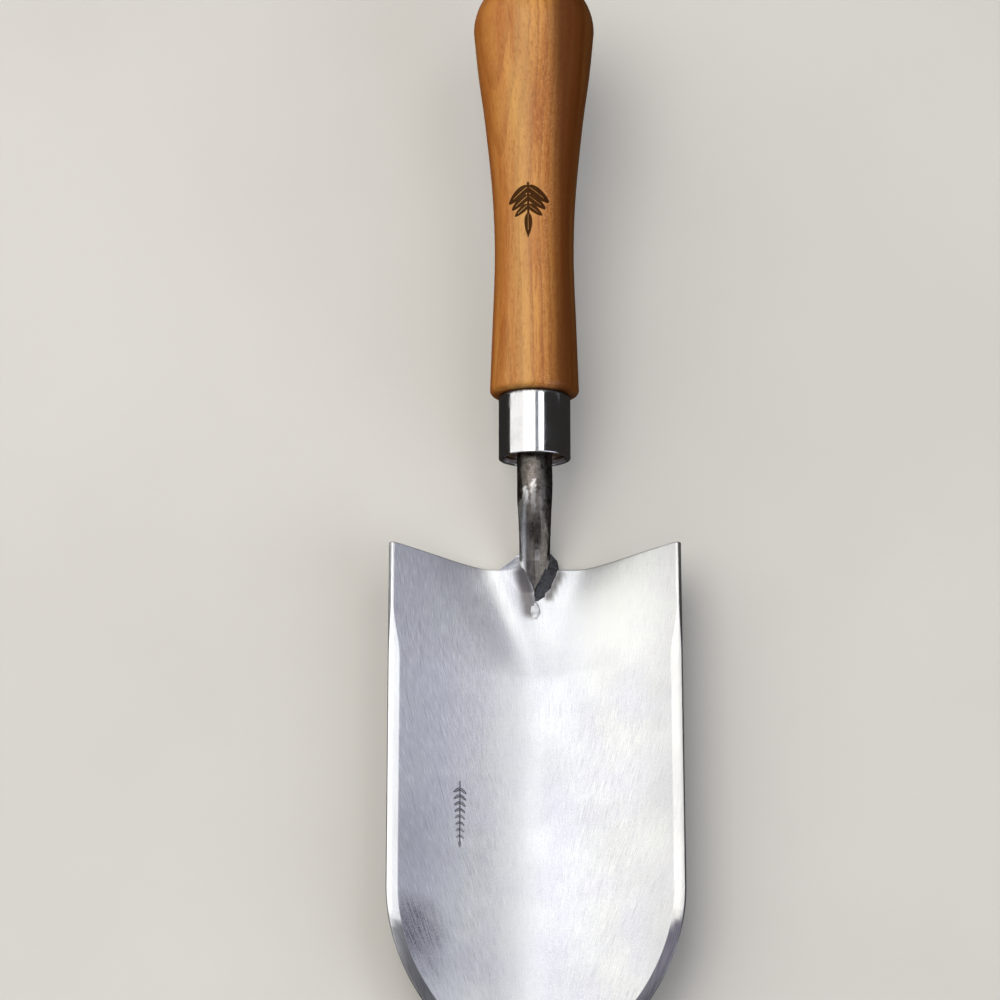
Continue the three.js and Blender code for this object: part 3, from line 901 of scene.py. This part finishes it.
def lay_edge(look, steel):
    """A warmer right wall and a cooler left one as painted reflection colour, the bevel and its worn lower
    turn with painted shade on the right, and the stamp.
    """
    # painted reflection colour: the right wall is warmed and the left wall cooled
    look.coat(steel.x.span(0.010, 0.024), (0.99, 0.985, 0.95), "MULTIPLY")
    look.coat(steel.x.span(-0.030, -0.016, 1.0, 0.0), (0.965, 0.975, 1.02), "MULTIPLY")
    # painted shade: the bevel and its worn lower turn are darker on the right wall than on the left
    right = steel.x.span(-0.02, 0.02)
    bevel_tone = look.blend(right, (0.76, 0.76, 0.76), (0.42, 0.415, 0.405))
    look.coat(look.attribute("ground") * 0.7, bevel_tone)
    worn = look.attribute("worn") * steel.marks.span(0.3, 0.6, 1.0, 0.92)
    look.coat(worn * 0.97, look.blend(right, (0.13, 0.13, 0.145), (0.062, 0.058, 0.08)))
    look.coat(look.attribute("stamp") * 0.9, (0.05, 0.05, 0.06))


def ground_steel():
    """Satin stainless sheet, ground along the blade."""
    look = Look("ground_steel")
    steel = Grinding(look)
    lay_ground_tones(look, steel)
    lay_painted_light_and_strokes(look, steel)
    lay_blade_marks(look, steel)
    lay_edge(look, steel)
    scratch = steel.streaks(1700, 60, 12.0).span(0.70, 0.76)
    rough = steel.hair.span(0.3, 0.7, 0.54, 0.62) + steel.cloud.span(0.3, 0.7, 0.04, -0.03)
    rough = rough - scratch * 0.1 - look.attribute("ground") * 0.2
    height = steel.hair * 0.7 + steel.marks - scratch * 0.6
    return look.finish(Metallic=1.0, Roughness=rough, Normal=look.bump(height, 0.5, 0.00006),
                       Anisotropic=0.75, Tangent=steel.tangent())


def forged_steel():
    """Dark forge scale on the neck; filed grey steel below a ragged bright edge, with a painted highlight
    down its left flank.
    """
    look = Look("forged_steel")
    x, y, z = look.split(look.place())
    scale = look.noise(620, 4, 0.65)
    fine = look.noise(1900, 2, 0.6)
    patch = look.noise(170, 3, 0.6)
    file_marks = look.noise(1.0, at=look.join(x * 2600, y * 260, z * 260))
    filed = look.attribute("filed")

    look.tone = look.blend(scale.span(0.3, 0.7), (0.065, 0.057, 0.052), (0.165, 0.148, 0.135))
    look.coat(fine.span(0.62, 0.7, 0.0, 0.7), (0.34, 0.32, 0.30))
    scaled = look.tone

    look.tone = look.blend(patch.span(0.35, 0.65), (0.115, 0.10, 0.092), (0.21, 0.19, 0.175))
    look.coat(file_marks.span(0.5, 0.7, 0.0, 0.5), (0.34, 0.33, 0.31))
    look.coat(fine.span(0.30, 0.40, 0.7, 0.0), (0.07, 0.06, 0.055))
    # painted highlight: a light strip down the filed bar's left flank
    left_flank_highlight = (x * -1.0).span(0.0022, 0.0036, 0.0, 0.95)
    look.coat(left_flank_highlight * fine.span(0.3, 0.5, 0.6, 1.0), (0.80, 0.80, 0.78))
    look.coat(look.attribute("lip") * scale.span(0.3, 0.5, 0.6, 0.9), (0.72, 0.72, 0.74))
    look.tone = look.blend(filed, scaled, look.tone)

    rough = scale.span(0.3, 0.7, 0.29, 0.46) + filed * -0.03
    height = scale * 0.8 + file_marks * 0.4
    return look.finish(Metallic=1.0, Roughness=rough, Normal=look.bump(height, 0.45, 0.00012))


JOINT_SHADE_AT = (0.0188, 0.0199)  # from the ferrule's mouth, where shade is painted against the wood


def polished_steel():
    """Ferrule tube: bright, with faint turning lines, handling marks and painted shade against the wood."""
    look = Look("polished_steel")
    x, y, z = look.split(look.place())
    along = y * AXIS[1] + z * AXIS[2]
    turned = look.noise(1.0, at=look.join(x * 60, along * 5200, 2.0))
    drawn = look.noise(1.0, at=look.join(x * 2600, along * 70, z * 300))
    smudge = look.noise(160, 4, 0.6)
    scratches = look.noise(1.0, 3, at=look.join(x * 700, along * 90, 6.0)).span(0.66, 0.72)
    look.tone = look.blend(smudge.span(0.4, 0.7), (0.72, 0.72, 0.735), (0.64, 0.64, 0.66))
    look.coat(drawn.span(0.55, 0.75, 0.0, 0.3), (0.45, 0.45, 0.47))
    from_mouth = along - float(to_frame(MOUTH) @ AXIS)
    # painted shade: the ferrule darkens towards its top, where it meets the wood
    joint_shade = (from_mouth + look.noise(900, 2) * 0.0009).span(*JOINT_SHADE_AT, 0.0, 0.95)
    look.coat(joint_shade, (0.035, 0.025, 0.018))
    rough = smudge.span(0.3, 0.75, 0.09, 0.16) + scratches * 0.12 + joint_shade * 0.3
    normal = look.bump(turned - scratches, 0.12, 0.00002)
    return look.finish(Metallic=1.0, Roughness=rough, Normal=normal)


def weld_steel(name, dark, light, shine):
    """Dressed weld metal with a blue heat tint."""
    look = Look(name)
    grain = look.noise(900, 3, 0.6)
    look.tone = look.blend(grain.span(0.3, 0.7), dark, light)
    look.coat(look.noise(260, 2).span(0.52, 0.66, 0.0, 0.35), (0.09, 0.097, 0.13))
    rough = grain.span(0.3, 0.7, shine, shine + 0.16)
    return look.finish(Metallic=1.0, Roughness=rough, Normal=look.bump(grain, 0.4, 0.0001))


PITH = (-0.040, 0.038)       # centre of the tree from the handle's axis, right and up, in metres
RINGS_PER_METRE = 380


class Stock:
    """Coordinates in the handle's wood: x to the right, s along the axis, n up, and its growth rings."""

    def __init__(self, look):
        self.look = look
        shift = tuple(-to_frame(MOUTH))
        local = look.node("ShaderNodeVectorMath", {0: look.place(), 1: shift}, operation="ADD")
        turn = {"Vector": local, "Axis": (1, 0, 0), "Angle": -HANDLE_RISE}
        self.x, self.s, self.n = look.split(look.node("ShaderNodeVectorRotate", turn))
        self.radius = self.reach(self.x, self.n)
        pith_x, pith_n = self.x - PITH[0], self.n - PITH[1]
        from_pith = self.reach(pith_x, pith_n)
        drift = look.noise(1.0, at=look.join(self.x * 40, self.s * 8, self.n * 40))
        rings = look.math("FRACT", (from_pith + drift * 0.006) * RINGS_PER_METRE)
        self.late = rings.span(0.35, 0.95) * rings.span(1.0, 0.95)
        facing = abs((self.x * pith_x + self.n * pith_n) / (self.radius * from_pith))
        self.quartered = facing.span(0.2, 0.62, 1.0, 0.0) * self.fibres(160, 30, 31.0).span(0.36, 0.56)

    def reach(self, a, b):
        return self.look.math("SQRT", a * a + b * b)

    def fibres(self, fine, long, seed, detail=2.0):
        at = self.look.join(self.x * fine, self.s * long, self.n * fine + seed)
        return self.look.noise(1.0, detail, 0.6, at)


def lay_grain(look, wood, hair, pores, speck):
    """Coats of the grain: patches, late wood, fibres, pores and the ray fleck on the quartered face."""
    look.coat(wood.fibres(75, 26, 23.0).span(0.5, 0.68, 0.0, 0.5), (0.36, 0.094, 0.018))
    look.coat(wood.late * 0.45, (0.26, 0.072, 0.015))
    look.coat(hair.span(0.5, 0.7, 0.0, 0.3), (0.60, 0.28, 0.082))
    look.coat(hair.span(0.3, 0.46, 0.4, 0.0), (0.25, 0.066, 0.010))
    look.coat(pores * 0.4, (0.11, 0.03, 0.008))
    look.coat(wood.quartered * speck.span(0.5, 0.66, 0.0, 0.45), (0.64, 0.33, 0.12))
    look.coat(wood.quartered * speck.span(0.34, 0.5, 0.45, 0.0), (0.24, 0.062, 0.014))


def lay_stripes(look, wood, band):
    """A pale stripe left of the middle as a painted highlight, mottling, painted shade down the right side,
    and a redder left edge.
    """
    wander = wood.x + (band - 0.5) * 0.006
    # painted highlight: a pale golden stripe left of the middle that wanders with the grain
    look.coat(abs(wander + 0.0044).span(0.0012, 0.0048, 0.4, 0.0), (0.60, 0.34, 0.10))
    mottle = wood.fibres(1500, 520, 41.0, 1.0)
    look.coat(mottle.span(0.55, 0.72, 0.0, 0.22), (0.64, 0.35, 0.11))
    look.coat(mottle.span(0.28, 0.45, 0.3, 0.0), (0.27, 0.075, 0.014))
    # painted shade: the right side of the handle darkens, a little less at its very edge
    rim = (wood.x / wood.radius).span(0.82, 0.97, 0.9, 0.7)
    look.coat(wander.span(0.0025, 0.0090) * rim, (0.105, 0.024, 0.002))
    look.coat(wander.span(-0.0055, -0.0125, 0.0, 0.45), (0.40, 0.115, 0.018))


def oiled_wood():
    """Reddish straight-grained fruitwood, lightly oiled, with ray fleck on its upper side."""
    look = Look("oiled_wood")
    wood = Stock(look)
    hair = wood.fibres(2500, 48, 0.0)
    band = wood.fibres(150, 5, 5.0)
    pores = wood.fibres(3000, 130, 11.0, 1.0).span(0.63, 0.72)
    speck = wood.fibres(1900, 3000, 17.0, 1.0)
    look.tone = look.blend(band.span(0.34, 0.66), (0.42, 0.135, 0.022), (0.62, 0.285, 0.066))
    lay_grain(look, wood, hair, pores, speck)
    lay_stripes(look, wood, band)
    look.coat(look.attribute("hidden_end") * 0.8, (0.06, 0.022, 0.01))
    burn = look.attribute("burn")
    burnt = (burn + hair * 0.35).span(0.3, 0.75) * burn.span(0.02, 0.3)
    look.coat(burnt * 0.93, (0.022, 0.008, 0.004))
    rough = hair.span(0.3, 0.7, 0.36, 0.48) + burnt * 0.25
    height = hair * 0.6 - pores + speck * wood.quartered * 0.5
    oil = (1.0 - burnt) * 0.12
    return look.finish(Roughness=rough, Normal=look.bump(height, 0.3, 0.00008), Coat_Weight=oil,
                       Coat_Roughness=0.32, Specular_IOR_Level=oil * 1.8)


def floor_look():
    look = Look("studio_floor")
    look.tone = look.blend(look.noise(6, 4).span(0.3, 0.7), (0.62, 0.595, 0.55), (0.66, 0.635, 0.59))
    return look.finish(Roughness=0.8)


def backdrop_look():
    look = Look("studio_backdrop")
    return look.finish(Specular_IOR_Level=0.0, Emission_Color=(0.52, 0.51, 0.49), Emission_Strength=1.0)


# ---- floor, light and camera ----

FLOOR_HALF = 3.0
FLOOR_DROP = 0.0001
DOME_RADIUS = 3.4


def stage_object(name, points, faces, material):
    mesh = bpy.data.meshes.new(name)
    mesh.from_pydata(points, [], faces)
    thing = bpy.data.objects.new(name, mesh)
    dress(thing, material)
    bpy.context.scene.collection.objects.link(thing)
    return thing


def make_floor():
    corners = [(-1, -1), (1, -1), (1, 1), (-1, 1)]
    points = [(x * FLOOR_HALF, y * FLOOR_HALF, -FLOOR_DROP) for x, y in corners]
    floor = stage_object("floor", points, [(0, 1, 2, 3)], floor_look())
    floor.visible_glossy = floor.visible_diffuse = False


def make_backdrop():
    """A plain pale dome that only the camera sees, behind the floor's far edge."""
    rings, sides = 8, 48
    points = []
    for i in range(rings):
        a = math.radians(-6 + 96 * i / rings)
        reach, height = DOME_RADIUS * math.cos(a), DOME_RADIUS * math.sin(a)
        for j in range(sides):
            b = 2 * math.pi * j / sides
            points.append((reach * math.cos(b), reach * math.sin(b), height))
    points.append((0, 0, DOME_RADIUS))
    faces = ring_faces(rings, sides) + cap_faces((rings - 1) * sides, sides, len(points) - 1, True)
    dome = stage_object("backdrop", points, faces, backdrop_look())
    dome.visible_diffuse = dome.visible_glossy = dome.visible_shadow = dome.visible_transmission = False


PANEL_DISTANCE = 1.8


def make_panel(name, start, end, radiance, tint, run):
    """A soft light panel over the directions from start to end, in degrees to the right of straight up.

    run is where it starts and ends along the tool, in metres, from the blade's side to the handle's.
    """
    middle, half = math.radians((start + end) / 2), math.radians((end - start) / 2)
    data = bpy.data.lights.new(name, "AREA")
    data.shape = "RECTANGLE"
    data.size = 2 * PANEL_DISTANCE * math.tan(half)
    data.size_y = run[1] - run[0]
    data.energy = radiance * math.pi * data.size * data.size_y
    data.color = tint
    light = bpy.data.objects.new(name, data)
    light.location = (PANEL_DISTANCE * math.sin(middle), sum(run) / 2, PANEL_DISTANCE * math.cos(middle))
    light.rotation_euler = (0, middle, 0)
    light.visible_camera = False
    bpy.context.scene.collection.objects.link(light)


def make_world(strength, tint):
    world = bpy.data.worlds.new("studio")
    bpy.context.scene.world = world
    world.use_nodes = True
    background = world.node_tree.nodes["Background"]
    background.inputs["Color"].default_value = (*tint, 1)
    background.inputs["Strength"].default_value = strength


VIEW_ELEVATION = math.radians(69.4)
VIEW_DISTANCE = 1.3
LENS_SHARE = 4.25                # focal length in image widths
AIM_OFFSET = (-0.0106, -0.0124)  # image centre from the ferrule's mouth, right and up, in metres


def make_camera():
    data = bpy.data.cameras.new("camera")
    data.sensor_width = 36.0
    data.lens = data.sensor_width * LENS_SHARE
    camera = bpy.data.objects.new("camera", data)
    back = Vector((0, -math.cos(VIEW_ELEVATION), math.sin(VIEW_ELEVATION)))
    up = Vector((0, math.sin(VIEW_ELEVATION), math.cos(VIEW_ELEVATION)))
    aim = Vector(to_frame(MOUTH)) + Vector((AIM_OFFSET[0], 0, 0)) + up * AIM_OFFSET[1]
    camera.location = aim + back * VIEW_DISTANCE
    camera.rotation_mode = "QUATERNION"
    camera.rotation_quaternion = (-back).to_track_quat("-Z", "Y")
    bpy.context.scene.collection.objects.link(camera)
    bpy.context.scene.camera = camera


# ---- assembly ----

make_camera()
make_floor()
make_backdrop()
make_panel("side_panel", -83, -34, 1.24, (1.0, 0.985, 0.955), (-0.5, 2.2))
make_panel("top_panel", -34, 0.5, 3.25, (1.0, 0.99, 0.965), (-0.5, 1.05))
make_panel("gap_panel", 0.5, 12, 0.3, (0.86, 0.92, 1.0), (-0.5, 1.05))
make_panel("strip_panel", 12, 28, 2.5, (0.93, 0.965, 1.0), (-0.1, 0.9))
make_panel("back_panel", -60, 13, 0.55, (1.0, 0.995, 0.985), (1.05, 3.6))
make_panel("front_panel", -75, 28, 0.6, (1.0, 0.995, 0.985), (-3.6, -0.5))
make_panel("back_fill_panel", 30, 85, 0.2, (0.84, 0.87, 1.0), (0.70, 3.6))
make_panel("front_fill_panel", 30, 75, 1.85, (0.84, 0.87, 1.0), (-2.2, -0.2))
make_world(1.0, (0.030, 0.028, 0.026))
bpy.context.scene.view_settings.view_transform = "Standard"

brushed = ground_steel()
# the right fillet's near-black tone is partly the weld's own scale and partly painted shade; the left
# fillet takes the bright blade finish
tinted_and_shaded = weld_steel("tinted_shaded_weld", (0.040, 0.040, 0.042), (0.095, 0.095, 0.101), 0.42)
dressed_and_highlight = weld_steel("dressed_weld", (0.54, 0.54, 0.56), (0.68, 0.68, 0.69), 0.5)
dress(make_blade(), brushed)
dress(make_stem(), forged_steel())
dress(make_ferrule(), polished_steel())
dress(make_handle(), oiled_wood())
dress(make_fillet(-1, "weld_left", "weld_fillet_left", LEFT_FOOT, 0.0, 9.0), brushed)
dress(make_fillet(1, "weld_right", "weld_fillet_right", RIGHT_FOOT, 0.35, 4.0), tinted_and_shaded)
dress(make_bead("weld_toe_bead", "weld_toe", (0.3, -13.4, SHEET), (1.35, 2.7, 0.34), 2.0), dressed_and_highlight)
dress(make_bead("weld_seam", "weld_seam_back", (0.0, GAP + 1.5, 1.75), (4.2, 1.7, 1.4), 4.0), tinted_and_shaded)
